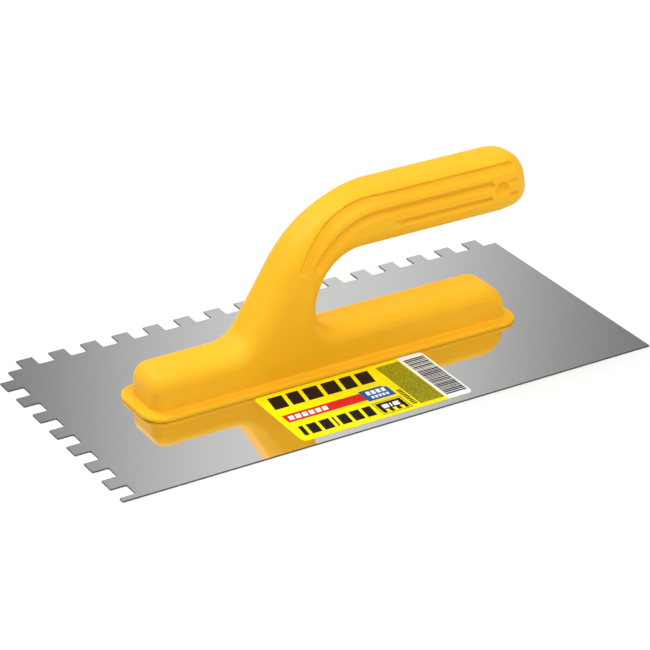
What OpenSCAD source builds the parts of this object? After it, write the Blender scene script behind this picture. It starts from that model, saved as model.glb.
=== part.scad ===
// Notched trowel: a comb-edged steel blade screwed to a moulded handle with a long hollow base.
// X runs along the blade, +Y points to its long toothed edge, and z = 0 is the blade's underside.

/* [Blade] */
// Length of the blade
blade_l = 270; // [260:1:320]
// Width of the blade
blade_w = 130; // [120:1:150]
// Thickness of the steel sheet
blade_t = 0.7; // [0.5:0.1:1]

/* [Teeth] */
// Width of one tooth
tooth_w = 8; // [5:0.5:10]
// Width of the gap between two teeth
notch_w = 8; // [5:0.5:10]
// Depth of the gap between two teeth
notch_d = 7.5; // [4:0.5:10]
// Distance from the far left corner to the first tooth of either edge
first_tooth = 15; // [12:0.5:18]

/* [Base of the handle] */
// Length of the base's body
base_l = 186.5; // [180:0.5:200]
// Width of the base's body where it meets its flange
base_w = 25.4; // [25:0.1:28]
// Height of the base's top above the blade's underside
base_h = 18.3; // [17:0.1:20]
// Wall thickness of the hollow base
wall = 2.4; // [2:0.1:3]
// Length of the flange
flange_l = 193.5; // [189:0.5:210]
// Width of the flange
flange_w = 35.4; // [32:0.1:40]
// Thickness of the flange
flange_t = 2; // [1.5:0.1:2.5]

/* [Grip and stem] */
// Width of the grip across the hand
grip_w = 26; // [24:0.1:27]
// Height of the grip's section
grip_h = 26.9; // [25:0.1:29]
// Height of the grip's underside above the blade's underside
grip_z = 55.1; // [52:0.1:60]
// Distance from the blade's middle to the tip of the grip
grip_reach = 105; // [98:0.5:110]
// Lean of the stem's back from the vertical, in degrees
stem_lean = 30.5; // [28:0.5:33]
// Radius of the bend along the back of the hand
bend_r = 61; // [56:1:66]
// Radius along the throat, under the bend
throat_r = 22; // [18:1:24]

/* [Flutes] */
// Depth of the flutes along the sides of the grip
flute_d = 1; // [0.5:0.1:1.4]

/* [Size label] */
// Length of the label
label_l = 87.3; // [80:0.1:95]
// Width of the label
label_w = 42.3; // [38:0.1:44]
// Thickness of the label
label_t = 0.1; // [0.08:0.01:0.2]

/* [Screws] */
// Diameter of a screw's head
head_d = 7; // [6.6:0.1:7.4]
// Diameter of a screw's shank over its thread
shank_d = 3.5; // [3:0.1:4]
// Length of a screw from the face of its head
screw_l = 12.5; // [10:0.5:13]
// Spacing of the three pairs of screws along the base
screw_pitch = 76; // [70:1:78]
// Distance between the two screws of a pair
screw_gap = 12; // [11:0.5:13]

/* [Hidden] */

steel = [0.78, 0.79, 0.8];
zinc = [0.86, 0.86, 0.84];
yellow = [0.98, 0.77, 0.12];
label_yellow = [1, 0.93, 0.05];

// Steps that round shapes are drawn with
fine = 48;
hull_fine = 32;

// Pitch of the teeth, and the inner corner radius left by the punch
pitch = tooth_w + notch_w;
notch_r = 1;
far_notches = ceil((blade_l - first_tooth - tooth_w) / pitch);
side_notches = ceil((blade_w - first_tooth - tooth_w) / pitch);

// Levels and offsets of the base
blade_top = blade_t;
flange_top = blade_top + flange_t;
base_x = 0.9;
base_draft = 0.5;
base_plan_r = 8.5;
base_edge_r = 6.5;
flange_plan_r = 9.5;
flange_soft = 0.8;
cavity_l = base_l - 2 * wall - 2 * base_draft;
cavity_w = base_w - 2 * wall - 2 * base_draft;
cavity_r = base_plan_r - wall;
cavity_bevel = 3.5;
core_x = -33;
core_l = 22;
core_w = 12;
core_h = 12;
rib_t = 1.8;
rib_count = 10;

// Screws, their bosses and the dimples pressed into the blade round their heads
screw_x = [for (i = [-1:1]) base_x + i * screw_pitch];
screw_places = [for (x = screw_x, side = [-1, 1]) [x, side * screw_gap / 2]];
boss_r = 3.9;
boss_h = base_h - wall / 2;
head_sink = 0.1;
head_r = head_d / 2;
shank_r = shank_d / 2;
dimple_top = head_r + head_sink - shank_r - 0.1;
dimple_r = head_r + 1.2;
sheet_lap = 0.5;
seat_gap = 0.04;
sheet_slant = blade_t * sqrt(2);
cross_l = 4;
cross_w = 0.9;
cross_d = 1.5;

// Handle outline in the X-Z plane. The outer rail is the back of the hand, the inner rail the throat.
grip_top = grip_z + grip_h;
stem_foot_x = -44.9;
foot_r = 14;
throat_foot_r = 11.5;
throat_x = -8;
throat_knee_z = 35.5;
throat_knee_r = 20;
throat_lean = 22.5;
tip_l = 12.5;
tip_inset = 11;
root_z = 10;
// Share of the foot's arcs left out, so that the stem enters the base at a small angle
foot_skip = 0.16;

back_heading = 90 - stem_lean;
throat_heading = 90 - throat_lean;
foot_corner = [stem_foot_x, base_h];
bend_corner = [stem_foot_x + (grip_top - base_h) / tan(back_heading), grip_top];
throat_foot = [throat_x, base_h];
throat_knee = [throat_x, throat_knee_z];
throat_corner = [throat_x + (grip_z - throat_knee_z) / tan(throat_heading), grip_z];
tip_x = grip_reach - tip_l;

// Section of the grip: corner radii across the hand and along the section's height
corner_r = 9;
foot_corner_y = 11.5;
foot_corner_z = 19;
stem_w = base_w - 0.5;

// Flutes, as [middle on the grip, middle on the stem, half width, first stage, last stage]. A middle runs
// round half of the section: 0 to 1 is the upper corner, 1 to 2 the flat side, 2 to 3 the lower corner.
flutes = [
    [0.63, 0.8, 0.15, 2.06, 3.97],
    [1.15, 1.65, 0.19, 2.12, 3.84],
    [1.95, 2.35, 0.165, 3.1, 3.84]
];
flute_run_out = 0.04;

// Stages along the handle: 0 to 1 foot, 1 to 2 stem, 2 to 3 bend, 3 to 4 straight grip, 4 to 5 tip
stages = concat(
    [for (i = [0:4]) i / 5],
    [1, 1.25, 1.5, 1.75],
    [for (i = [0:15]) 2 + i / 16],
    [3, 3.06, 3.1, 3.3, 3.5, 3.7, 3.8, 3.84, 3.88, 3.93, 3.97],
    [for (i = [0:8]) 4 + i / 8]
);

// Marks moulded near the tip: a round dimple and two short dashes on each side
dimple_x = 86.7;
dimple_z = 69.5;
mark_ball_r = 6;
mark_depth = 1.25;
dash_x = 90.6;
dash_l = 4.4;
dash_r = 1.4;
dash_depth = 0.9;
dash_z = [65.6, 72.3];

label_x = -2.5;
label_y = -39.45;
label_r = 2.5;

function lerp(a, b, t) = a + (b - a) * t;
function unit(angle) = [cos(angle), sin(angle)];
function clamp01(t) = max(0, min(1, t));

// A point on the arc of radius r that rounds a corner, where t runs from 0 to 1 along the arc
function arc_start(corner, a, b, r) = corner - unit(a) * r * tan(abs(b - a) / 2);
function arc_point(corner, a, b, r, t) =
    let (side = sign(b - a), now = lerp(a, b, t), start = arc_start(corner, a, b, r))
    start + r * side * [-sin(a), cos(a)] + r * side * [sin(now), -cos(now)];

// The throat's straight run, its knee and the run up to the bend, where t goes from 0 to 1
function throat_stem(t) =
    let (low = arc_point(throat_foot, 180, 90, throat_foot_r, 1),
        high = arc_point(throat_corner, throat_heading, 0, throat_r, 0))
    t < 0.2 ? lerp(low, arc_point(throat_knee, 90, throat_heading, throat_knee_r, 0), t / 0.2)
    : t < 0.8 ? arc_point(throat_knee, 90, throat_heading, throat_knee_r, (t - 0.2) / 0.6)
    : lerp(arc_point(throat_knee, 90, throat_heading, throat_knee_r, 1), high, (t - 0.8) / 0.2);

function outer_rail(s) =
    s < 1 ? arc_point(foot_corner, 0, back_heading, foot_r, lerp(foot_skip, 1, s))
    : s < 2 ? lerp(arc_point(foot_corner, 0, back_heading, foot_r, 1),
        arc_point(bend_corner, back_heading, 0, bend_r, 0), s - 1)
    : s < 3 ? arc_point(bend_corner, back_heading, 0, bend_r, s - 2)
    : lerp(arc_point(bend_corner, back_heading, 0, bend_r, 1), [tip_x, grip_top], min(s, 4) - 3);

function inner_rail(s) =
    s < 1 ? arc_point(throat_foot, 180, 90, throat_foot_r, lerp(foot_skip, 1, s))
    : s < 2 ? throat_stem(s - 1)
    : s < 3 ? arc_point(throat_corner, throat_heading, 0, throat_r, s - 2)
    : lerp(arc_point(throat_corner, throat_heading, 0, throat_r, 1), [tip_x, grip_z], min(s, 4) - 3);

// Middle of a flute at stage s, and how much of its depth is left there
function flute_mid(f, s) = lerp(f[0], f[1], pow(1 - clamp01(s - 2), 3));
function flute_gate(f, s) = clamp01((s - f[3]) / flute_run_out + 1) * clamp01((f[4] - s) / flute_run_out + 1);
function flute_share(f, s, p) = flute_gate(f, s) * clamp01(2 - 2 * abs(p - flute_mid(f, s)) / f[2]);
function flute_cut(s, p) = flute_d * max([for (f = flutes) flute_share(f, s, p)]);

// Places round half of the section where the ring at stage s has its points
function half_ring(s) = concat(
    [0, 0.15, 0.3],
    [for (f = flutes, k = [-1, -0.45, 0.45, 1]) flute_mid(f, s) + k * f[2]],
    [2.65, 2.82, 3]
);

// Point of the section at place p, as [across the hand, along the section], pushed in by cut
function section_point(p, a, b, ry, rz, cut) =
    p < 1 ? [b - ry + (ry - cut) * sin(90 * p), a - rz + (rz - cut) * cos(90 * p)]
    : p < 2 ? [b - cut, (a - rz) * (3 - 2 * p)]
    : [b - ry + (ry - cut) * cos(90 * (p - 2)), rz - a - (rz - cut) * sin(90 * (p - 2))];

// One closed ring of points at stage s
function ring(s) =
    let (top = outer_rail(s), low = inner_rail(s), mid = (top + low) / 2, reach = norm(top - low) / 2,
        along = (top - low) / (2 * reach), foot = clamp01(1 - s), tip = max(0, s - 4) * 90,
        inset = tip_inset * (1 - cos(tip)), a = reach - inset,
        b = lerp(stem_w, grip_w, clamp01(s - 1)) / 2 - inset,
        ry = lerp(corner_r - 0.65 * inset, foot_corner_y, foot),
        rz = lerp(corner_r - 0.65 * inset, foot_corner_z, foot),
        right = [for (p = half_ring(s)) section_point(p, a, b, ry, rz, flute_cut(s, p))],
        n = len(right),
        loop = concat(right, [for (i = [0:n - 1]) [-right[n - 1 - i][0], right[n - 1 - i][1]]]))
    [for (q = loop) [mid[0] + along[0] * q[1] + tip_l * sin(tip), q[0], mid[1] + along[1] * q[1]]];

// Skins a stack of rings of equal length, closed by a fan round the middle of each end
module skin(rings) {
    n = len(rings[0]);
    last = len(rings) - 1;
    points = [for (r = rings, q = r) q];
    hubs = [for (r = [rings[0], rings[last]]) (r[0] + r[floor(n / 2)]) / 2];
    sides = [
        for (k = [0:last - 1], i = [0:n - 1], half = [0, 1])
            let (j = (i + 1) % n, a = k * n, b = (k + 1) * n)
            half == 0 ? [a + i, b + j, b + i] : [a + i, a + j, b + j]
    ];
    fans = [
        for (i = [0:n - 1], end = [0, 1])
            let (j = (i + 1) % n)
            end == 0 ? [j, i, len(points)] : [last * n + i, last * n + j, len(points) + 1]
    ];
    polyhedron(concat(points, hubs), concat(sides, fans), convexity = 6);
}

// Plate with round corners, centred on the base
module plate(length, width, radius, thickness) {
    linear_extrude(thickness) {
        square([length, width - 2 * radius], center = true);
        square([length - 2 * radius, width], center = true);
        for (x = [-1, 1], y = [-1, 1])
            translate([x * (length / 2 - radius), y * (width / 2 - radius)])
                circle(radius);
    }
}

// Outline of one gap between teeth, reaching down from the edge at y = 0, with round inner corners
module notch(width) {
    polygon(concat(
        [[0, 1], [0, notch_r - notch_d]],
        [for (a = [195:15:255]) [notch_r, notch_r - notch_d] + notch_r * unit(a)],
        [[notch_r, -notch_d], [width - notch_r, -notch_d]],
        [for (a = [285:15:345]) [width - notch_r, notch_r - notch_d] + notch_r * unit(a)],
        [[width, notch_r - notch_d], [width, 1]]
    ));
}

module blade_outline() {
    left = -blade_l / 2;
    far = blade_w / 2;
    difference() {
        square([blade_l, blade_w], center = true);
        for (i = [0:far_notches - 1])
            translate([left + first_tooth + tooth_w + i * pitch, far])
                notch(notch_w);
        for (i = [0:side_notches - 1])
            translate([left, far - first_tooth - tooth_w - i * pitch])
                rotate(-90) mirror([0, 1]) notch(notch_w);
        translate([left - 1, far - notch_d])
            square([first_tooth + 1, notch_d + 1]);
        translate([left - 1, far - first_tooth])
            square([notch_d + 1, first_tooth + 1]);
    }
}

// Cone pressed up out of the sheet, which a countersunk head sits in
module blade_dimple() {
    rotate_extrude($fn = fine)
        polygon([
            [head_r + head_sink, 0],
            [head_r + head_sink - dimple_top, dimple_top],
            [head_r + head_sink - dimple_top + sheet_slant, dimple_top],
            [head_r + head_sink - blade_t + sheet_slant, blade_t],
            [dimple_r, blade_t],
            [dimple_r, 0]
        ]);
}

module blade() {
    color(steel) {
        difference() {
            linear_extrude(blade_t) blade_outline();
            for (q = screw_places)
                translate([q[0], q[1], -1]) cylinder(r = dimple_r - sheet_lap, h = blade_t + 2, $fn = fine);
        }
        for (q = screw_places)
            translate(q) blade_dimple();
    }
}

// Flange with a soft edge, flat on the blade
module flange() {
    translate([base_x, 0, blade_top])
        hull($fn = hull_fine) {
            plate(flange_l - flange_soft, flange_w - flange_soft, flange_plan_r, flange_t / 2, $fn = hull_fine);
            translate([0, 0, flange_t * 0.3])
                plate(flange_l, flange_w, flange_plan_r, flange_t * 0.3, $fn = hull_fine);
            plate(flange_l - 2 * flange_soft, flange_w - 2 * flange_soft, flange_plan_r, flange_t, $fn = hull_fine);
        }
}

// Body of the base, with drafted sides and round upper edges
module base_body() {
    foot_x = base_l / 2 - base_plan_r;
    foot_y = base_w / 2 - base_plan_r;
    edge_x = base_l / 2 - base_edge_r - base_draft;
    edge_y = base_w / 2 - base_edge_r - base_draft;
    translate([base_x, 0, 0])
        hull() {
            for (x = [-1, 1], y = [-1, 1]) {
                translate([x * foot_x, y * foot_y, flange_top - flange_t / 2])
                    cylinder(r = base_plan_r, h = 0.5, $fn = hull_fine);
                translate([x * edge_x, y * edge_y, base_h - base_edge_r])
                    sphere(base_edge_r, $fn = hull_fine);
            }
        }
}

// Stem and grip in one sweep, rooted inside the base
module stem_and_grip() {
    root = [for (q = ring(0)) [q[0], q[1], root_z]];
    skin(concat([root], [for (s = stages) ring(s)]));
}

// Room inside the base, grown by a small amount to lap into its walls
module base_room(grow) {
    half = cavity_w / 2 + grow;
    top = base_h - wall + grow;
    intersection() {
        translate([base_x, 0, 0])
            plate(cavity_l + 2 * grow, 2 * half, cavity_r, base_h, $fn = fine);
        rotate([90, 0, 90])
            linear_extrude(2 * base_l, center = true)
                polygon([
                    [-half, -1], [half, -1], [half, top - cavity_bevel],
                    [half - cavity_bevel, top], [cavity_bevel - half, top], [-half, top - cavity_bevel]
                ]);
    }
}

// Hollow of the base, open against the blade, and the pocket cored out under the stem
module base_hollow() {
    base_room(0);
    translate([core_x, -core_w / 2, 0])
        cube([core_l, core_w, base_h + core_h]);
}

// Cross ribs and screw bosses inside the base
module ribs_and_bosses() {
    rib_pitch = cavity_l / (rib_count + 1);
    intersection() {
        base_room(0.3);
        for (i = [1:rib_count])
            translate([base_x - cavity_l / 2 + i * rib_pitch - rib_t / 2, -base_w / 2, blade_top])
                cube([rib_t, base_w, base_h]);
    }
    for (q = screw_places)
        translate([q[0], q[1], blade_top])
            cylinder(r = boss_r, h = boss_h - blade_top, $fn = fine);
}

// Pilot bore of a screw and the seat for the dimple round its head
module screw_seat() {
    seat_r = head_r + head_sink - blade_t + sheet_slant + seat_gap;
    seat_h = dimple_top - blade_t + seat_gap;
    translate([0, 0, blade_top])
        cylinder(r1 = seat_r, r2 = seat_r - seat_h, h = seat_h, $fn = fine);
    cylinder(r = shank_r, h = head_sink + screw_l + 1, $fn = fine);
}

// Round dimple and two short dashes moulded into one side of the grip's end
module tip_marks() {
    side = grip_w / 2;
    translate([dimple_x, side + mark_ball_r - mark_depth, dimple_z])
        sphere(mark_ball_r, $fn = fine);
    for (z = dash_z)
        translate([dash_x, side + dash_r - dash_depth, z])
            rotate([0, 90, 0]) cylinder(r = dash_r, h = dash_l, $fn = fine);
}

module handle() {
    color(yellow)
        difference() {
            union() {
                difference() {
                    union() {
                        base_body();
                        flange();
                        stem_and_grip();
                    }
                    base_hollow();
                }
                ribs_and_bosses();
            }
            for (q = screw_places)
                translate(q) screw_seat();
            tip_marks();
            mirror([0, 1, 0]) tip_marks();
        }
}

module size_label() {
    color(label_yellow)
        translate([label_x, label_y, blade_top])
            plate(label_l, label_w, label_r, label_t, $fn = fine);
}

// Countersunk self-tapping screw with a cross recess, head downwards
module screw(i) {
    cone_h = head_r - shank_r;
    color(zinc)
        translate([screw_places[i][0], screw_places[i][1], head_sink])
            difference() {
                union() {
                    cylinder(r1 = head_r, r2 = shank_r, h = cone_h, $fn = fine);
                    cylinder(r = shank_r, h = screw_l, $fn = fine);
                }
                intersection() {
                    translate([0, 0, -0.5])
                        cylinder(r1 = cross_l / 2 + 0.5, r2 = cross_w / 2, h = cross_d + 0.5, $fn = fine);
                    union() {
                        cube([cross_l, cross_w, 2 * cross_d], center = true);
                        cube([cross_w, cross_l, 2 * cross_d], center = true);
                    }
                }
            }
}

blade();
handle();
size_label();
screw(0);  // screw_1
screw(1);  // screw_2
screw(2);  // screw_3
screw(3);  // screw_4
screw(4);  // screw_5
screw(5);  // screw_6
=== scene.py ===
"""Looks of a notched trowel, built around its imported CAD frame.

Shapes are worked out in millimetres in the frame's own axes; make_mesh() turns them into metres.
"""

import math
import bpy
import numpy as np
from mathutils import Matrix, Vector
from mathutils.geometry import tessellate_polygon


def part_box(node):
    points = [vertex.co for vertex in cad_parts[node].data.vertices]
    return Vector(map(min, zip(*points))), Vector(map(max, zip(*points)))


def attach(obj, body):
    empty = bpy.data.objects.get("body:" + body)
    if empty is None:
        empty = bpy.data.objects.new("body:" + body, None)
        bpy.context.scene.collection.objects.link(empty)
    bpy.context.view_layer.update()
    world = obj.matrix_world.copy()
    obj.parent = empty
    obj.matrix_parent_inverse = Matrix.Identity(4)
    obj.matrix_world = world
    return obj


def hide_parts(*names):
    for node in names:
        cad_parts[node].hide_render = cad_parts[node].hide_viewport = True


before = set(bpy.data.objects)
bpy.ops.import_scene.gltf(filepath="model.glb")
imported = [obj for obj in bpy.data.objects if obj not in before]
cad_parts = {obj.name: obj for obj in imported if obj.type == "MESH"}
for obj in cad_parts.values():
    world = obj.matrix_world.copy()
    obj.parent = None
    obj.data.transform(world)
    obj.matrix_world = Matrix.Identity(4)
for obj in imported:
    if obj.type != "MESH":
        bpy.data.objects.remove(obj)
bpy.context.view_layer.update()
MM = 0.001


def node_box(name):
    """Lowest and highest corner of a CAD node, in millimetres."""
    return [np.array(corner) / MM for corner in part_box(name)]


# ---------------------------------------------------------------- sizes from the frame
blade_low, blade_high = node_box("blade")
handle_low, handle_high = node_box("handle")
label_low, label_high = node_box("size_label")
SCREWS = ["screw_%d" % i for i in range(1, 7)]
screw_boxes = {name: node_box(name) for name in SCREWS}
screw_low, screw_high = screw_boxes[SCREWS[0]]

SHEET = label_low[2]
HEAD_R = (screw_high[0] - screw_low[0]) / 2
HEAD_FACE = screw_low[2]
SCREW_L = screw_high[2] - screw_low[2]
SCREW_PLACES = {name: (low + high)[:2] / 2 for name, (low, high) in screw_boxes.items()}

# ---------------------------------------------------------------- driving sizes, in millimetres
TOOTH_W, NOTCH_W, NOTCH_D, FIRST_TOOTH = 8.0, 8.0, 7.5, 15.0
NOTCH_R, TOOTH_R, EDGE_EASE = 0.8, 0.3, 0.08
NO_AREA, FAR = 1e-9, 1e9
POST_TURNS, SEAT_TURNS, MITRE = 40, 48, 0.5
SHANK_R = 1.75
HEAD_GAP = 0.1

FLANGE_T = 2.0
FLANGE_X = (handle_low[0], handle_low[0] + 193.5)
FLANGE_MID, FLANGE_HALF = (FLANGE_X[0] + FLANGE_X[1]) / 2, handle_high[1]
FLANGE_R, FLANGE_SOFT, FLANGE_TUCK = 9.5, 0.8, 0.12
BASE_X = (FLANGE_X[0] + 4.5, FLANGE_X[1] - 4.25)
BASE_MID = (BASE_X[0] + BASE_X[1]) / 2
BASE_H, BASE_DRAFT, BASE_EDGE, LEFT_R, RIGHT_R = 18.3, 0.5, 5.8, 7.5, 11.4
WALL, HOLLOW_R, HOLLOW_EDGE = 2.4, 4.5, 7.5

GRIP_TOP = handle_high[2]
GRIP_LOW = GRIP_TOP - 26.9
GRIP_END = handle_high[0]
GRIP_HALF, WAIST_HALF, FOOT_HALF = 13.0, 12.35, 12.7
STEM_R, GRIP_R, TIP_EDGE, TIP_LEAN = 7.3, 9.0, 12.8, 5.0
TIP_REACH, TIP_R_TOP, TIP_R_LOW = 2.0, 13.2, 9.8
STEM_X, STEM_LEAN, STEM_FOOT_R, BEND_R = -44.9, 30.5, 14.0, 61.0
THROAT_X, THROAT_LEAN, THROAT_FOOT_R = -8.0, 22.5, 11.5
KNEE_Z, KNEE_R, THROAT_R = 35.5, 20.0, 22.0

# Heights at which the sides and edges change, and where the edge rounding opens out at the tip.
EDGE_LEVELS = (16, 32, 60)
TIP_BLEND_FROM, TIP_BLEND_OVER, TIP_BLEND_BELOW = 18, 16, 10
BRIM_FILLET, FLUTES_FROM_Y = 1.0, 3
# The solid core of the stem, seen from inside the base.
CORE_X, CORE_HALF_X, CORE_HALF_Y, CORE_R, CORE_RISE, CORE_TOP_R = -22, 11, 6, 1.5, 12, 2
CORE_FILLET, MOUTH_FILLET = 1.5, 0.5

FLUTE_Z, DASH_Z = (78.6, 72.4, 65.15), (71.9, 65.0)
DIMPLE_X, DIMPLE_Z, DIMPLE_R, DIMPLE_D = 86.6, 68.9, 3.5, 2.2


# ---------------------------------------------------------------- small helpers
def smooth(t):
    t = np.clip(t, 0, 1)
    return t * t * (3 - 2 * t)


def blend_min(a, b, k):
    """Union of two shapes with a fillet about k wide."""
    h = np.maximum(k - np.abs(a - b), 0) / k
    return np.minimum(a, b) - h * h * k / 4


def blend_max(a, b, k):
    return -blend_min(-a, -b, k)


def round_both(a, b, r):
    """Where two shapes overlap, with the edge between them rounded to radius r."""
    u, v = a + r, b + r
    return np.minimum(np.maximum(u, v), 0) + np.hypot(np.maximum(u, 0), np.maximum(v, 0)) - r


def rounded_rect(x, y, half_x, half_y, r):
    return round_both(np.abs(x) - half_x, np.abs(y) - half_y, r)


def heading(a, b):
    return math.atan2(b[1] - a[1], b[0] - a[0])


def rounded_path(corners):
    """Lines and arcs through corners given as (x, z, radius).
    A line is (start, end); an arc is (centre, radius, start angle, turn)."""
    parts, start = [], np.array(corners[0][:2], float)
    for i in range(1, len(corners) - 1):
        corner = np.array(corners[i][:2], float)
        h_in, h_out = heading(corners[i - 1], corners[i]), heading(corners[i], corners[i + 1])
        turn = (h_out - h_in + math.pi) % (2 * math.pi) - math.pi
        r, side = corners[i][2], math.copysign(1, turn)
        reach = r * math.tan(abs(turn) / 2)
        a = corner - reach * np.array([math.cos(h_in), math.sin(h_in)])
        b = corner + reach * np.array([math.cos(h_out), math.sin(h_out)])
        centre = a + side * r * np.array([-math.sin(h_in), math.cos(h_in)])
        parts += [(start, a), (centre, r, h_in - side * math.pi / 2, turn)]
        start = b
    return parts + [(start, np.array(corners[-1][:2], float))]


def path_distance(x, z, parts):
    """Signed distance to a path of lines and arcs, positive on its left."""
    best, signed = np.full(x.shape, FAR), np.zeros(x.shape)
    for part in parts:
        if len(part) == 2:
            (ax, az), (bx, bz) = part
            length = math.hypot(bx - ax, bz - az)
            ux, uz = (bx - ax) / length, (bz - az) / length
            t = (x - ax) * ux + (z - az) * uz
            near = np.clip(t, 0, length)
            side = (z - az) * ux - (x - ax) * uz
            away = np.hypot(x - ax - near * ux, z - az - near * uz)
        else:
            (cx, cz), r, first, turn = part
            # The angle from the arc's start, wrapped about its middle and held between its ends.
            bend, half = math.copysign(1, turn), abs(turn) / 2
            spin = bend * (np.arctan2(z - cz, x - cx) - first)
            spin = (spin - half + math.pi) % (2 * math.pi) - math.pi + half
            held = np.clip(spin, 0, abs(turn))
            angle = first + bend * held
            px, pz = cx + r * np.cos(angle), cz + r * np.sin(angle)
            side = -bend * ((x - px) * np.cos(angle) + (z - pz) * np.sin(angle))
            away = np.hypot(x - px, z - pz)
        closer = away < best
        best = np.where(closer, away, best)
        signed = np.where(closer, np.where(side < 0, -away, away), signed)
    return signed


def make_mesh(name, points, faces, material, smooth_shade=False, normals=None, replaces=()):
    """A piece of the object from points in millimetres, with one material or a list of them, and
    the CAD nodes that it stands for."""
    mesh = bpy.data.meshes.new(name)
    corners = [tuple(p) for p in np.asarray(points, float) * MM]
    mesh.from_pydata(corners, [], [tuple(map(int, f)) for f in faces])
    mesh.validate()
    if smooth_shade:
        mesh.shade_smooth()
    if normals is not None:
        mesh.normals_split_custom_set_from_vertices(np.asarray(normals, np.float32))
    for m in material if isinstance(material, (list, tuple)) else [material]:
        mesh.materials.append(m)
    piece = bpy.data.objects.new(name, mesh)
    bpy.context.scene.collection.objects.link(piece)
    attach(piece, "root")
    if replaces:
        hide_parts(*replaces)
    return piece


# ---------------------------------------------------------------- handle: the shape
LEAN, FRONT = math.radians(STEM_LEAN), math.radians(THROAT_LEAN)
DEEP = -20
PROFILE = rounded_path([
    (BASE_X[0], DEEP, 0),
    (BASE_X[0] + BASE_DRAFT, BASE_H, LEFT_R),
    (STEM_X, BASE_H, STEM_FOOT_R),
    (STEM_X + (GRIP_TOP - BASE_H) * math.tan(LEAN), GRIP_TOP, BEND_R),
    (GRIP_END + TIP_REACH - TIP_LEAN, GRIP_TOP, TIP_R_TOP),
    (GRIP_END + TIP_REACH, GRIP_LOW, TIP_R_LOW),
    (THROAT_X + (GRIP_LOW - KNEE_Z) * math.tan(FRONT), GRIP_LOW, THROAT_R),
    (THROAT_X, KNEE_Z, KNEE_R),
    (THROAT_X, BASE_H, THROAT_FOOT_R),
    (BASE_X[1] - BASE_DRAFT, BASE_H, RIGHT_R),
    (BASE_X[1], DEEP, 0),
])
# Each flute: its depth, its half width, how much wider it is at its lower end,
# the length over which it dies out at its low x end, and its path.
FLUTES = [
    (1.35, 2.1, 1.0, 0, rounded_path([(91.5, FLUTE_Z[0], 0), (-2.6, FLUTE_Z[0], 42), (-17.6, 53.2, 0)])),
    (2.1, 2.4, 1.25, 0, rounded_path([(79.8, FLUTE_Z[1], 0), (3.4, FLUTE_Z[1], 38), (-10.0, 53.4, 0)])),
    (1.8, 1.8, 1.0, 8, rounded_path([(80.0, FLUTE_Z[2], 0), (29.3, FLUTE_Z[2], 0)])),
    (1.1, 1.6, 1.0, 0, rounded_path([(94.2, DASH_Z[0], 0), (91.3, DASH_Z[0], 0)])),
    (1.1, 1.6, 1.0, 0, rounded_path([(94.2, DASH_Z[1], 0), (91.7, DASH_Z[1], 0)])),
]
# A flute's upper wall is steep and its lower side runs out gently.
STEEP, GENTLE = 0.68, 1.36
WIDEN_FROM, WIDEN_OVER = 28, 42


def flute_depth(x, z):
    """How far the flutes, the dimple and the dashes sink into the sides of the grip."""
    depth = DIMPLE_D * np.maximum(1 - ((x - DIMPLE_X) ** 2 + (z - DIMPLE_Z) ** 2) / DIMPLE_R ** 2, 0)
    for deep, half, widening, fade, path in FLUTES:
        half = half * (1 + (widening - 1) * smooth((WIDEN_FROM - x) / WIDEN_OVER))
        if fade:
            deep = deep * smooth((x - path[-1][1][0] + half) / fade)
        below = path_distance(x, z, path)
        gap = np.where(below > 0, below / GENTLE, below / STEEP) / half
        depth = np.maximum(depth, deep * np.maximum(1 - gap ** 2, 0) ** 1.5)
    return depth


def handle_shape(x, y, z):
    """Signed distance in millimetres, close enough near the surface, of the whole moulded handle."""
    y = np.abs(y)
    side = np.interp(z, [SHEET, BASE_H, EDGE_LEVELS[2]], [FOOT_HALF, WAIST_HALF, GRIP_HALF])
    r = np.interp(z, EDGE_LEVELS, [BASE_EDGE, STEM_R, GRIP_R])
    near_tip = smooth((x - GRIP_END + TIP_BLEND_FROM) / TIP_BLEND_OVER) * (z > GRIP_LOW - TIP_BLEND_BELOW)
    r = r + (TIP_EDGE - GRIP_R) * near_tip
    solid = round_both(path_distance(x, z, PROFILE), y - side, r)
    solid = solid + flute_depth(x, z) * (y > FLUTES_FROM_Y)
    brim = rounded_rect(x - FLANGE_MID, y, (FLANGE_X[1] - FLANGE_X[0]) / 2, FLANGE_HALF, FLANGE_R)
    brim = np.maximum(round_both(brim, z - SHEET - FLANGE_T, FLANGE_SOFT),
                      round_both(brim, SHEET - z, FLANGE_TUCK))
    solid = blend_min(solid, brim, BRIM_FILLET)
    room = (BASE_X[1] - BASE_X[0]) / 2 - BASE_DRAFT - WALL
    hollow = rounded_rect(x - BASE_MID, y, room, side - WALL, HOLLOW_R)
    hollow = round_both(hollow, z - BASE_H + WALL, HOLLOW_EDGE)
    core = rounded_rect(x - CORE_X, y, CORE_HALF_X, CORE_HALF_Y, CORE_R)
    core = round_both(core, z - BASE_H - CORE_RISE, CORE_TOP_R)
    solid = blend_max(solid, -blend_min(hollow, core, CORE_FILLET), MOUTH_FILLET)
    return np.maximum(solid, SHEET - z)


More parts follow.
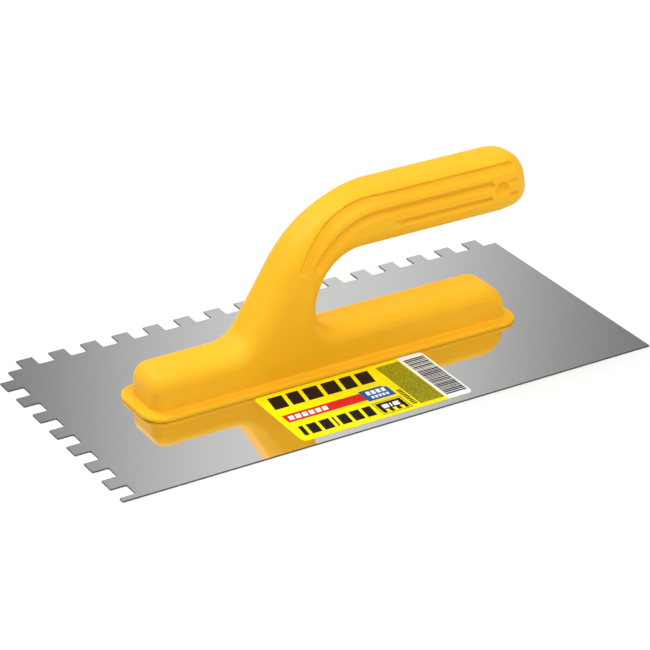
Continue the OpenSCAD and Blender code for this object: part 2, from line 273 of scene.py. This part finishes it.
# ---------------------------------------------------------------- handle: the mesh
def surface_net(axes, field):
    """Points and four-sided faces of the surface field = 0 on a grid with the given coordinates.
    Each grid edge that crosses the surface gives a point to its four cells, and a face between them."""
    shape = np.array(field.shape) - 1
    cells = int(np.prod(shape))
    total, count, quads = np.zeros((cells, 3)), np.zeros(cells), []
    for axis in range(3):
        n = field.shape[axis]
        a, b = np.take(field, range(n - 1), axis), np.take(field, range(1, n), axis)
        at = np.argwhere((a < 0) != (b < 0))
        fa, fb = a[tuple(at.T)], b[tuple(at.T)]
        point = np.stack([axes[k][at[:, k]] for k in range(3)], 1)
        point[:, axis] += fa / (fa - fb) * (axes[axis][at[:, axis] + 1] - point[:, axis])
        u, v = [(1, 2), (2, 0), (0, 1)][axis]
        ring = []
        for du, dv in ((0, 0), (-1, 0), (-1, -1), (0, -1)):
            cell = at.copy()
            cell[:, u] += du
            cell[:, v] += dv
            flat = np.ravel_multi_index(tuple(cell.T), tuple(shape))
            for k in range(3):
                total[:, k] += np.bincount(flat, point[:, k], cells)
            count += np.bincount(flat, minlength=cells)
            ring.append(flat)
        quad = np.stack(ring, 1)
        quads.append(np.where((fa < 0)[:, None], quad, quad[:, ::-1]))
    used = np.flatnonzero(count)
    index = np.full(cells, -1)
    index[used] = np.arange(len(used))
    return total[used] / count[used, None], index[np.concatenate(quads)]


def slope(shape, points, step=0.04):
    """Gradient of a shape at points."""
    out = np.zeros_like(points)
    for k in range(3):
        offset = np.zeros(3)
        offset[k] = step
        out[:, k] = (shape(*(points + offset).T) - shape(*(points - offset).T)) / (2 * step)
    return out


def settle(shape, points, rounds=3, reach=0.5, flattest=0.1, tiny=1e-6):
    """Moves points onto the surface of a shape and returns them with their unit normals."""
    for _ in range(rounds):
        g = slope(shape, points)
        move = shape(*points.T)[:, None] * g / np.maximum((g * g).sum(1), flattest)[:, None]
        points = points - np.clip(move, -reach, reach)
    g = slope(shape, points)
    return points, g / np.maximum(np.linalg.norm(g, axis=1), tiny)[:, None]


def spread(low, high, step):
    return np.linspace(low, high, max(2, round((high - low) / step)) + 1)


# The grid is finer round the bend, the tip, the flange and the grip.
COARSE, FINE = ((0.95, 0.62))
BEND_X, TIP_X, FLANGE_Z, GRIP_Z = (-30, 34), 78, 5.5, 48
MARGIN, SIDE_MARGIN, UNDER_MARGIN = 1.5, 1.2, 0.9
SIDE_STEP, FOOT_STEP, STEM_STEP, GRIP_STEP = FINE * 1.15, FINE * 0.7, COARSE * 0.95, FINE * 0.9
x_lines = np.concatenate([
    spread(handle_low[0] - MARGIN, BEND_X[0], COARSE)[:-1],
    spread(BEND_X[0], BEND_X[1], FINE)[:-1],
    spread(BEND_X[1], TIP_X, COARSE)[:-1],
    spread(TIP_X, GRIP_END + MARGIN, FINE),
])
y_lines = spread(-handle_high[1] - SIDE_MARGIN, handle_high[1] + SIDE_MARGIN, SIDE_STEP)
z_lines = np.concatenate([
    spread(SHEET - UNDER_MARGIN, FLANGE_Z, FOOT_STEP)[:-1],
    spread(FLANGE_Z, GRIP_Z, STEM_STEP)[:-1],
    spread(GRIP_Z, GRIP_TOP + MARGIN, GRIP_STEP),
])
grid = np.meshgrid(x_lines, y_lines, z_lines, indexing="ij")
points, quads = surface_net([x_lines, y_lines, z_lines], handle_shape(*grid))
settled, normals = settle(handle_shape, points)
settled[:, 2] = np.maximum(settled[:, 2], SHEET)
settled = np.clip(settled, handle_low, handle_high)


# ---------------------------------------------------------------- materials
def rgb(red, green, blue):
    """Linear colour of an sRGB colour given in 0 to 255."""
    part = [c / 255 for c in (red, green, blue)]
    return tuple(c / 12.92 if c <= 0.04045 else ((c + 0.055) / 1.055) ** 2.4 for c in part) + (1.0,)


# The two tones of each surface, as linear colours, and the roughness between its two kinds of spot.
PLASTIC_TONES = (0.90, 0.468, 0.016, 1), (0.92, 0.486, 0.018, 1)
STEEL_TONES = (0.82, 0.82, 0.815, 1), (0.88, 0.88, 0.875, 1)
# The cut edge tones are far darker than the steel's own: painted shade that stands for the dark reflection
# along the sheet's edge faces, over the real streaks of the cut.
CUT_PAINTED_SHADE_TONES = (0.05, 0.05, 0.05, 1), (0.15, 0.15, 0.148, 1)
ZINC_TONES = (0.55, 0.56, 0.58, 1), (0.72, 0.71, 0.66, 1)
FLOOR_TONES = (0.83, 0.83, 0.83, 1), (0.86, 0.86, 0.86, 1)
PLASTIC_ROUGH, STEEL_ROUGH, INK_SHADE = (0.38, 0.48), (0.03, 0.07), 0.88


class Nodes:
    """A material and short ways to add and join its nodes."""

    def __init__(self, name, **settings):
        self.material = bpy.data.materials.new(name)
        self.material.use_nodes = True
        self.tree = self.material.node_tree
        self.shader = self.tree.nodes["Principled BSDF"]
        for key, value in settings.items():
            self.shader.inputs[key.replace("_", " ")].default_value = value

    def add(self, kind, inputs=None, **settings):
        """A node with its inputs joined or set, and its own settings."""
        node = self.tree.nodes.new("ShaderNode" + kind)
        for key, value in settings.items():
            setattr(node, key, value)
        for key, value in (inputs or {}).items():
            if isinstance(value, bpy.types.NodeSocket):
                self.tree.links.new(value, node.inputs[key])
            else:
                node.inputs[key].default_value = value
        return node

    def place(self, scale=(1, 1, 1)):
        """Object coordinates in metres, stretched by scale."""
        at = self.add("TexCoord").outputs["Object"]
        return self.add("Mapping", {"Vector": at, "Scale": scale}).outputs["Vector"]

    def noise(self, size, detail=3, stretch=(1, 1, 1), roughness=0.55):
        """Noise whose features are about size millimetres across."""
        inputs = {"Vector": self.place(stretch), "Scale": 1 / (size * MM), "Detail": detail,
                  "Roughness": roughness}
        return self.add("TexNoise", inputs).outputs["Fac"]

    def spread(self, value, low=0.3, high=0.7, to_low=0, to_high=1):
        """A value between low and high, stretched to run from to_low to to_high."""
        inputs = {"Value": value, "From Min": low, "From Max": high, "To Min": to_low, "To Max": to_high}
        return self.add("MapRange", inputs).outputs["Result"]

    def mix(self, share, a, b):
        """A colour between a and b."""
        node = self.add("Mix", data_type="RGBA")
        for socket, value in ((node.inputs[0], share), (node.inputs[6], a), (node.inputs[7], b)):
            if isinstance(value, bpy.types.NodeSocket):
                self.tree.links.new(value, socket)
            else:
                socket.default_value = value
        return node.outputs[2]

    def bump(self, height, distance, strength, under=None):
        """A normal from a height, distance millimetres deep, on top of another bump."""
        inputs = {"Height": height, "Distance": distance * MM, "Strength": strength}
        if under is not None:
            inputs["Normal"] = under
        return self.add("Bump", inputs).outputs["Normal"]

    def link(self, value, socket):
        self.tree.links.new(value, self.shader.inputs[socket])

    def tint(self, share, tones):
        self.link(self.mix(share, *tones), "Base Color")


def plastic():
    m = Nodes("handle_plastic", Roughness=0.42, IOR=1.46, Subsurface_Weight=0.2, Subsurface_Scale=0.002,
              Subsurface_Radius=(1.0, 0.35, 0.05), Specular_IOR_Level=0.13)
    m.tint(m.spread(m.noise(22, 2), 0.35, 0.65), PLASTIC_TONES)
    grain = m.noise(0.35, 2)
    wave = m.noise(6, 2)
    m.link(m.spread(grain, 0.3, 0.7, *PLASTIC_ROUGH), "Roughness")
    m.link(m.bump(grain, 0.012, 0.6, m.bump(wave, 0.05, 0.5)), "Normal")
    return m.material


def steel():
    m = Nodes("blade_steel", Metallic=1.0, Roughness=0.12)
    brushed = m.noise(0.25, 4, (0.012, 1, 1), 0.7)
    cloud = m.noise(30, 3)
    scratch = m.noise(0.9, 5, (0.03, 1, 1), 0.8)
    m.tint(m.spread(brushed), STEEL_TONES)
    marks = m.add("Math", {0: cloud, 1: scratch}, operation="ADD").outputs[0]
    m.link(m.spread(marks, 0.7, 1.3, *STEEL_ROUGH), "Roughness")
    m.link(m.bump(brushed, 0.0006, 0.6, m.bump(m.noise(45, 1), 0.02, 0.25)), "Normal")
    return m.material


def cut_steel_painted_shade():
    # Nearly black base colour: painted shade for the dark reflection on the sheet's edge faces; the streaks
    # and bumps are the cut's own finish.
    m = Nodes("cut_edge_steel_painted_shade", Metallic=1.0, Roughness=0.4)
    streak = m.noise(0.2, 3, (1, 1, 0.15))
    m.tint(m.spread(streak), CUT_PAINTED_SHADE_TONES)
    m.link(m.bump(streak, 0.02, 0.5), "Normal")
    return m.material


def zinc():
    m = Nodes("screw_zinc", Metallic=1.0, Roughness=0.3)
    m.tint(m.noise(1.2, 3), ZINC_TONES)
    m.link(m.bump(m.noise(0.3, 2), 0.01, 0.4), "Normal")
    return m.material


def ink(name, colour, other=None, size=3.0):
    """Printed film, with the slight mottle of ink."""
    m = Nodes(name, Roughness=0.45, Specular_IOR_Level=0.15)
    other = other or tuple(c * INK_SHADE for c in colour[:3]) + (1.0,)
    m.tint(m.spread(m.noise(size, 3), 0.35, 0.65), (colour, other))
    m.link(m.bump(m.noise(4, 2), 0.01, 0.4), "Normal")
    return m.material


PLASTIC, STEEL, CUT_PAINTED_SHADE, ZINC = plastic(), steel(), cut_steel_painted_shade(), zinc()

make_mesh("handle_shell", settled, quads, PLASTIC, smooth_shade=True, normals=normals,
          replaces=["handle"])


# ---------------------------------------------------------------- shapes turned or pressed out
def lathe(profile, turns, places):
    """Points and faces of a closed profile of (radius, z) turned about the Z axis at each place."""
    points, faces, n = [], [], len(profile)
    for px, py in places:
        first = len(points)
        for i in range(turns):
            a = 2 * math.pi * i / turns
            points += [(px + r * math.cos(a), py + r * math.sin(a), z) for r, z in profile]
        for i in range(turns):
            j = (i + 1) % turns
            for k in range(n):
                m = (k + 1) % n
                here, there = first + i * n, first + j * n
                faces.append((here + k, there + k, there + m, here + m))
    return points, faces


def ribs_and_bosses():
    """The inside of the base: tapered cross ribs, and a bored post over each screw."""
    cone = HEAD_R + HEAD_GAP - SHEET + SHEET * math.sqrt(2)
    lip, clear, spare, bore_r, bore_tip, post_r, foot, cover = 0.9, 0.04, 1, 0.4, 0.6, 3.9, 0.5, 1.4
    seat = cone - SHANK_R - lip
    bore_end, post_top = HEAD_FACE + SCREW_L + spare, BASE_H - cover
    post = [(cone + clear, SHEET), (cone + clear - seat, SHEET + seat), (SHANK_R, SHEET + seat),
            (SHANK_R, bore_end), (bore_r, bore_end + bore_tip), (bore_r, post_top), (post_r, post_top),
            (cone + foot, SHEET)]
    points, faces = lathe(post, POST_TURNS, SCREW_PLACES.values())
    count, half_t, taper, bite, shoulder, narrow = 10, 0.9, 0.25, 0.2, 3.6, 3.8
    length = BASE_X[1] - BASE_X[0] - 2 * (WALL + BASE_DRAFT)
    half_y, high = FOOT_HALF - WALL + bite, BASE_H - WALL + bite
    levels = ((SHEET, half_t - taper, half_y), (high - shoulder, half_t, half_y - bite),
              (high, half_t, half_y - narrow))
    for i in range(1, count + 1):
        mid = BASE_MID - length / 2 + i * length / (count + 1)
        first = len(points)
        for z, t, y in levels:
            points += [(mid - t, -y, z), (mid + t, -y, z), (mid + t, y, z), (mid - t, y, z)]
        for ring in (first, first + 4):
            faces += [(ring + k, ring + (k + 1) % 4, ring + 4 + (k + 1) % 4, ring + 4 + k) for k in range(4)]
        faces += [tuple(first + k for k in (3, 2, 1, 0)), tuple(first + 8 + k for k in range(4))]
    return points, faces


points, faces = ribs_and_bosses()
make_mesh("handle_ribs", points, faces, PLASTIC)


# ---------------------------------------------------------------- blade
def notch_ends(length):
    """Pairs (start, end) of the gaps between teeth along an edge, measured from the far left corner."""
    pairs, at = [], FIRST_TOOTH + TOOTH_W
    while at < length:
        pairs.append((at, min(at + NOTCH_W, length)))
        at += TOOTH_W + NOTCH_W
    return pairs


def round_corners(corners, inner, outer, steps=5):
    """Rounds each corner of a closed anticlockwise outline: radius inner where it turns right
    and outer where it turns left."""
    out, n = [], len(corners)
    for i in range(n):
        a, b, c = (np.array(corners[k % n], float) for k in (i - 1, i, i + 1))
        u, v = (b - a) / np.linalg.norm(b - a), (c - b) / np.linalg.norm(c - b)
        left = u[0] * v[1] - u[1] * v[0] > 0
        r = outer if left else inner
        centre = b - u * r + r * (1 if left else -1) * np.array([-u[1], u[0]])
        first = math.atan2(*(b - u * r - centre)[::-1])
        for k in range(steps + 1):
            angle = first + (1 if left else -1) * (math.pi / 2) * k / steps
            out.append(centre + r * np.array([math.cos(angle), math.sin(angle)]))
    return out


def blade_outline():
    """Anticlockwise outline seen from above, starting at the near left corner."""
    (x0, y0), (x1, y1) = blade_low[:2], blade_high[:2]
    corners = [(x1, y0)]
    edge = y1 - NOTCH_D
    for a, b in reversed(notch_ends(x1 - x0)):
        if b < x1 - x0:
            corners += [(x0 + b, y1), (x0 + b, edge)]
        else:
            corners += [(x1, edge)]
        corners += [(x0 + a, edge), (x0 + a, y1)]
    corners += [(x0 + FIRST_TOOTH, y1), (x0 + FIRST_TOOTH, edge), (x0 + NOTCH_D, edge)]
    corners += [(x0 + NOTCH_D, y1 - FIRST_TOOTH), (x0, y1 - FIRST_TOOTH)]
    for a, b in notch_ends(y1 - y0):
        corners += [(x0, y1 - a), (x0 + NOTCH_D, y1 - a), (x0 + NOTCH_D, y1 - b), (x0, y1 - b)]
    corners.append((x0, y0))
    return corners


def inset(outline, by):
    """A closed anticlockwise outline moved inwards."""
    pts = np.array(outline)
    ahead, behind = np.roll(pts, -1, 0) - pts, pts - np.roll(pts, 1, 0)
    ahead /= np.linalg.norm(ahead, axis=1)[:, None]
    behind /= np.linalg.norm(behind, axis=1)[:, None]
    normal = np.stack([-(ahead + behind)[:, 1], (ahead + behind)[:, 0]], 1)
    normal /= np.linalg.norm(normal, axis=1)[:, None]
    scale = 1 / np.maximum((normal * np.stack([-ahead[:, 1], ahead[:, 0]], 1)).sum(1), MITRE)
    return pts + normal * by * scale[:, None]


def blade_mesh():
    """The sheet with its teeth and screw seats: points, faces, and 1 for each face of the cut edge."""
    outline = round_corners(blade_outline(), NOTCH_R, TOOTH_R)
    eased = inset(outline, EDGE_EASE)
    n, turns = len(outline), SEAT_TURNS
    levels = [(eased, 0), (outline, EDGE_EASE), (outline, SHEET - EDGE_EASE), (eased, SHEET)]
    points = [(x, y, z) for ring, z in levels for x, y in ring]
    faces, kinds = [], []
    for level in range(3):
        for i in range(n):
            j = (i + 1) % n
            faces.append((level * n + i, level * n + j, (level + 1) * n + j, (level + 1) * n + i))
            kinds.append(1)
    # The sheet is pressed up round each screw's head: a profile of (radius, z) with soft shoulders.
    skirt, toe, toe_z, heel, heel_z, fillet = 1.2, 0.35, 0.15, 0.1, 0.08, 0.4
    rim = HEAD_R + HEAD_GAP
    up = rim - SHANK_R - HEAD_GAP
    back = SHEET * math.sqrt(2)
    flat, root = rim + skirt, rim - SHEET + back
    press = [(flat, 0), (rim + toe, 0), (rim, toe_z), (rim - up, up), (rim - up + back, up),
             (root + heel, SHEET + heel_z), (root + fillet, SHEET), (flat, SHEET)]
    holes_low, holes_high = [], []
    for px, py in SCREW_PLACES.values():
        first = len(points)
        for i in range(turns):
            a = 2 * math.pi * i / turns
            points += [(px + r * math.cos(a), py + r * math.sin(a), z) for r, z in press]
        m = len(press)
        for i in range(turns):
            j = (i + 1) % turns
            for k in range(m - 1):
                here, there = first + i * m + k, first + j * m + k
                faces.append((here, here + 1, there + 1, there))
                kinds.append(0)
        holes_low.append([first + i * m for i in range(turns)])
        holes_high.append([first + i * m + m - 1 for i in range(turns)])
    for holes, first, flip in ((holes_low, 0, True), (holes_high, 3 * n, False)):
        loops = [list(range(first, first + n))] + [hole[::-1] for hole in holes]
        order = [index for loop in loops for index in loop]
        for tri in tessellate_polygon([[Vector((*points[i][:2], 0)) for i in loop] for loop in loops]):
            face = [order[i] for i in tri]
            a, b, c = (np.array(points[i][:2]) for i in face)
            area = (b - a)[0] * (c - a)[1] - (b - a)[1] * (c - a)[0]
            if abs(area) < NO_AREA:
                continue
            if (area < 0) != flip:
                face.reverse()
            faces.append(face)
            kinds.append(0)
    return points, faces, kinds


points, faces, kinds = blade_mesh()
# The edge faces get the darkened cut material, which paints shade along the sheet's edges.
blade = make_mesh("blade_sheet", points, faces, [STEEL, CUT_PAINTED_SHADE], replaces=["blade"])
for polygon, kind in zip(blade.data.polygons, kinds):
    polygon.material_index = kind


# ---------------------------------------------------------------- screws
def cross_radius(angle, half_w, reach):
    """Distance from the centre to the outline of a plus shape, in a direction."""
    fold = abs((angle + math.pi / 4) % (math.pi / 2) - math.pi / 4)
    return reach / math.cos(fold) if fold < math.atan(half_w / reach) else half_w / math.sin(fold)


def screw_mesh():
    """One screw, head down at z = 0, as rings of points at the same angles."""
    half_w, reach, sunk, draft, floor_r, lip, lip_z = 0.45, 2.0, 1.5, 0.75, 0.75, 0.1, 0.02
    bevel, rim_t, neck, run_in, run_out, last_crest = 0.15, 0.12, SHANK_R * 0.8, 0.4, 0.8, 0.1
    pitch, thread, sharp, steps, point_l = 1.4, 0.42, 5.0, 72, 1.6
    corners = [math.atan(half_w / reach), math.pi / 4, 0, 0.12, 0.35, 0.5, 0.65]
    angles = sorted({round((q * math.pi / 2 + s * t) % (2 * math.pi), 9) for q in range(4) for s in (-1, 1)
                     for t in corners})
    n = len(angles)
    rings = [lambda a: (cross_radius(a, half_w * draft, floor_r), sunk),
             lambda a: (cross_radius(a, half_w, reach), lip_z),
             lambda a: (cross_radius(a, half_w, reach) + lip, 0),
             lambda a: (HEAD_R - bevel, 0),
             lambda a: (HEAD_R, rim_t),
             lambda a: (neck, HEAD_R - neck + rim_t)]
    body = SCREW_L - point_l
    start = HEAD_R - neck + run_in
    for k in range(steps + 1):
        z = start + (body - start) * k / steps

        def ring(a, z=z):
            phase = (z / pitch - a / (2 * math.pi)) % 1
            crest = max(0, 1 - abs(phase - 0.5) * sharp)
            fade = min(1, z - start) * min(1, (body - z) / run_out + last_crest)
            return SHANK_R - thread * (1 - crest * fade), z
        rings.append(ring)
    point_r, tip_r, point_at = 0.75, 0.25, 0.6
    rings.append(lambda a: (point_r, body + point_l * point_at))
    rings.append(lambda a: (tip_r, SCREW_L))
    points = [(r * math.cos(a), r * math.sin(a), z) for ring in rings for a in angles for r, z in [ring(a)]]
    faces = [(k * n + i, k * n + (i + 1) % n, (k + 1) * n + (i + 1) % n, (k + 1) * n + i)
             for k in range(len(rings) - 1) for i in range(n)]
    points += [(0, 0, sunk), (0, 0, SCREW_L)]
    last = (len(rings) - 1) * n
    faces += [((i + 1) % n, i, len(points) - 2) for i in range(n)]
    faces += [(last + i, last + (i + 1) % n, len(points) - 1) for i in range(n)]
    return points, faces


points, faces = screw_mesh()
for name, (px, py) in SCREW_PLACES.items():
    moved = np.array(points) + np.array([px, py, HEAD_FACE])
    make_mesh(name + "_turned", moved, faces, ZINC, replaces=[name])


# ---------------------------------------------------------------- label
INK_T, INK_BITE, LABEL_R, WHITE_FROM = 0.02, 0.03, 2.5, 74.2
LX, LY = label_low[0], label_high[1]


def slab(outline, z0, z1, points, faces):
    """Adds a thin closed plate with an anticlockwise outline."""
    first, n = len(points), len(outline)
    points += [(x, y, z) for z in (z0, z1) for x, y in outline]
    faces += [(first + i, first + (i + 1) % n, first + n + (i + 1) % n, first + n + i) for i in range(n)]
    faces += [tuple(first + i for i in reversed(range(n))), tuple(first + n + i for i in range(n))]


def rect(x0, x1, y0, y1):
    return [(x0, y0), (x1, y0), (x1, y1), (x0, y1)]


def printed(name, outlines, material, level=1):
    """Ink on the label: thin plates sunk a little into the film, higher where they lie over others."""
    points, faces = [], []
    top = label_high[2]
    for outline in outlines:
        slab(outline, top - INK_BITE, top + INK_T * level, points, faces)
    make_mesh(name, points, faces, material)


def on_label(x0, x1, y0, y1):
    """A rectangle on the label: x from its left end and y down from its far edge."""
    return rect(LX + x0, LX + x1, LY - y1, LY - y0)


label_corners = rect(label_low[0], label_high[0], label_low[1], label_high[1])
label_corners = round_corners(label_corners, LABEL_R, LABEL_R, 8)
points, faces = [], []
slab(label_corners, SHEET, label_high[2], points, faces)
YELLOW = ink("label_yellow", rgb(252, 236, 6))
make_mesh("size_label_film", points, faces, YELLOW, replaces=["size_label"])

BLACK = ink("ink_black", rgb(9, 10, 14))
RED = ink("ink_red", rgb(214, 30, 34))
BLUE = ink("ink_blue", rgb(0, 90, 176))
WHITE = ink("ink_white", rgb(246, 251, 255), rgb(240, 246, 251))
OLIVE = ink("ink_olive", rgb(176, 170, 18), rgb(104, 106, 10), 0.7)
white_end = [tuple(p) for p in label_corners if p[0] > LX + WHITE_FROM]
white_end = [(LX + WHITE_FROM, label_low[1])] + white_end + [(LX + WHITE_FROM, label_high[1])]
printed("label_white_end", [white_end], WHITE, 0.5)


def block_row(x0, y0, y1, widths, gap, lean):
    """A row of plain blocks with slanted ends, in place of lettering."""
    blocks, at = [], x0
    for w in widths:
        a, b, c, d = on_label(at, at + w - gap, y0, y1)
        blocks.append([(a[0] - lean, a[1]), (b[0] - lean, b[1]), (c[0] + lean, c[1]), (d[0] + lean, d[1])])
        at += w
    return blocks


# Two rows of blocks, a thin frame round a comb sign, and a column of small marks.
big = block_row(4.4, 2.9, 13.2, (9.2, 8.2, 9.6, 9.4, 8.2, 9.0), 2.0, 0.9)
small = block_row(3.8, 30.4, 38.6, (3.8, 6.4, 6.6, 2.4, 6.4, 6.4, 6.0), 1.6, 0.5)
frame_t, (fx0, fx1, fy0, fy1) = 0.35, (42.2, 57.0, 29.6, 40.2)
border = [on_label(fx0, fx1, fy0, fy0 + frame_t), on_label(fx0, fx1, fy1 - frame_t, fy1),
          on_label(fx0, fx0 + frame_t, fy0, fy1), on_label(fx1 - frame_t, fx1, fy0, fy1)]
(x0, y0), _, (x1, y1), _ = on_label(43.2, 56.0, 30.6, 39.2)
comb_teeth, comb_d = 4, 2.8
comb_w = (x1 - x0) / (2 * comb_teeth - 1)
teeth = [(x0, y1)]
for k in range(comb_teeth):
    left, right = x0 + 2 * k * comb_w, x0 + (2 * k + 1) * comb_w
    teeth += [(left, y0), (right, y0)]
    if k < comb_teeth - 1:
        teeth += [(right, y0 + comb_d), (x0 + (2 * k + 2) * comb_w, y0 + comb_d)]
side_marks = [on_label(58.3, 60.6, y, y + 0.9) for y in np.arange(24.5, 39.0, 1.45)]
printed("label_black_marks", big + small + border + [teeth + [(x1, y1)]] + side_marks, BLACK)
printed("label_red_stripe", [on_label(3.0, 42.8, 19.0, 25.6)], RED)
flag = on_label(42.8, 56.8, 17.6, 27.2)
(fx, fy), cut_x, cut_y = flag[2], 2.6, 1.8
flag = flag[:2] + [(fx, fy - cut_y), (fx - cut_x, fy), flag[3]]
printed("label_blue_flag", [flag], BLUE)
over = block_row(4.8, 20.7, 24.0, (3.4,) * 6, 0.9, 0.3)
over += block_row(45.2, 19.2, 22.4, (2.6,) * 4, 0.7, 0.2)
over += block_row(45.6, 23.6, 25.6, (1.9,) * 5, 0.6, 0.15)
over += block_row(45.2, 32.4, 35.6, (3.9, 1.6, 3.9), 0.8, 0.2)
printed("label_white_marks", over, WHITE, 2)
printed("label_olive_panel", [on_label(61.4, 73.8, 2.8, 39.6)], OLIVE)
bars, at, bars_end = [], 3.4, 39.0
rng = np.random.default_rng(7)
while at < bars_end:
    w = rng.choice([0.5, 0.7, 1.1])
    bars.append(on_label(75.6, 86.4, at, at + w))
    at += w + rng.choice([0.3, 0.35, 0.5])
printed("label_stripes", bars, BLACK)


# ---------------------------------------------------------------- floor, light and camera
FLOOR_HALF, FLOOR_Z = 30.0, -0.00002
mesh = bpy.data.meshes.new("floor")
mesh.from_pydata([(x, y, FLOOR_Z) for x, y in rect(-FLOOR_HALF, FLOOR_HALF, -FLOOR_HALF, FLOOR_HALF)],
                 [], [(0, 1, 2, 3)])
floor = bpy.data.objects.new("floor", mesh)
bpy.context.scene.collection.objects.link(floor)
m = Nodes("floor_pale", Roughness=0.9)
m.shader.inputs["Specular IOR Level"].default_value = 0.1
m.tint(m.noise(400, 2), FLOOR_TONES)
floor.data.materials.append(m.material)

scene = bpy.context.scene
scene.view_settings.view_transform = "Standard"
world = bpy.data.worlds.new("studio")
scene.world = world
world.use_nodes = True
tree = world.node_tree
background = tree.nodes["Background"]
coords = tree.nodes.new("ShaderNodeTexCoord")
split = tree.nodes.new("ShaderNodeSeparateXYZ")
tree.links.new(coords.outputs["Generated"], split.inputs[0])


def world_math(operation, *values):
    """A number worked out from other numbers or outputs in the world's nodes."""
    node = tree.nodes.new("ShaderNodeMath")
    node.operation = operation
    for socket, value in zip(node.inputs, values):
        if isinstance(value, bpy.types.NodeSocket):
            tree.links.new(value, socket)
        else:
            socket.default_value = value
    return node.outputs[0]


def world_ramp(axis, low, high, to_high, to_low=0.0):
    """A smooth change from to_low to to_high as a direction's coordinate goes from low to high."""
    node = tree.nodes.new("ShaderNodeMapRange")
    node.interpolation_type = "SMOOTHSTEP"
    tree.links.new(split.outputs[axis], node.inputs["Value"])
    for socket, value in (("From Min", low), ("From Max", high), ("To Min", to_low), ("To Max", to_high)):
        node.inputs[socket].default_value = value
    return node.outputs["Result"]


# A ring of soft cards stands round the object, a broad soft light hangs over it, and the side
# that the grip points to is dimmer.
CARDS, CARD_PHASE = 20, math.radians(31.8)
CEILING_FROM, CEILING_FULL, DIM_FROM, DIM_FULL = 0.6, 0.85, 0.58, 0.9
CARD_DARK, CARD_BRIGHT, CEILING, RIGHT_DIM = 0.22, 0.70, 1.05, 0.25
around = world_math("ARCTAN2", split.outputs["X"], split.outputs["Y"])
wave = world_math("COSINE", world_math("MULTIPLY", world_math("SUBTRACT", around, CARD_PHASE), CARDS))
cards = world_math("MULTIPLY_ADD", wave, (CARD_BRIGHT - CARD_DARK) / 2, (CARD_BRIGHT + CARD_DARK) / 2)
rise = world_ramp("Z", CEILING_FROM, CEILING_FULL, 1.0)
gap = world_math("SUBTRACT", CEILING, cards)
level = world_math("MULTIPLY_ADD", gap, rise, cards)
dim = world_ramp("X", DIM_FROM, DIM_FULL, RIGHT_DIM, 1.0)
level = world_math("MULTIPLY", level, dim)
tree.links.new(level, background.inputs["Strength"])
background.inputs["Color"].default_value = (1, 1, 1, 1)


def softbox(name, azimuth, elevation, distance, size, power):
    """A square area light that faces the object, with azimuth 0 in front of it."""
    a, e = math.radians(azimuth), math.radians(elevation)
    back = Vector((math.sin(a) * math.cos(e), -math.cos(a) * math.cos(e), math.sin(e)))
    light = bpy.data.lights.new(name, "AREA")
    light.size, light.energy = size, power
    lamp = bpy.data.objects.new(name, light)
    scene.collection.objects.link(lamp)
    lamp.location = back * distance
    lamp.rotation_euler = back.to_track_quat("Z", "Y").to_euler()


softbox("key_light", 2, 60, 2.2, 1.1, 18)
softbox("front_light", 8, 20, 2.4, 1.2, 3)
softbox("rear_light", 213, 46, 2.2, 1.0, 21)

VIEW_AZIMUTH, VIEW_ELEVATION, VIEW_ROLL, VIEW_DISTANCE = -32.1265, 27.6994, 0.989, 1.26401
LENS, SENSOR, CLIP = 152.38, 36.0, (0.05, 100.0)
AIM = Vector((0.018718, 0.027134, -0.00034))
a, e = math.radians(VIEW_AZIMUTH), math.radians(VIEW_ELEVATION)
back = Vector((math.sin(a) * math.cos(e), -math.cos(a) * math.cos(e), math.sin(e)))
camera = bpy.data.objects.new("camera", bpy.data.cameras.new("camera"))
scene.collection.objects.link(camera)
camera.data.lens, camera.data.sensor_width = LENS, SENSOR
camera.data.clip_start, camera.data.clip_end = CLIP
turn = back.to_track_quat("Z", "Y").to_matrix() @ Matrix.Rotation(math.radians(VIEW_ROLL), 3, "Z")
camera.matrix_world = Matrix.Translation(AIM + back * VIEW_DISTANCE) @ turn.to_4x4()
scene.camera = camera
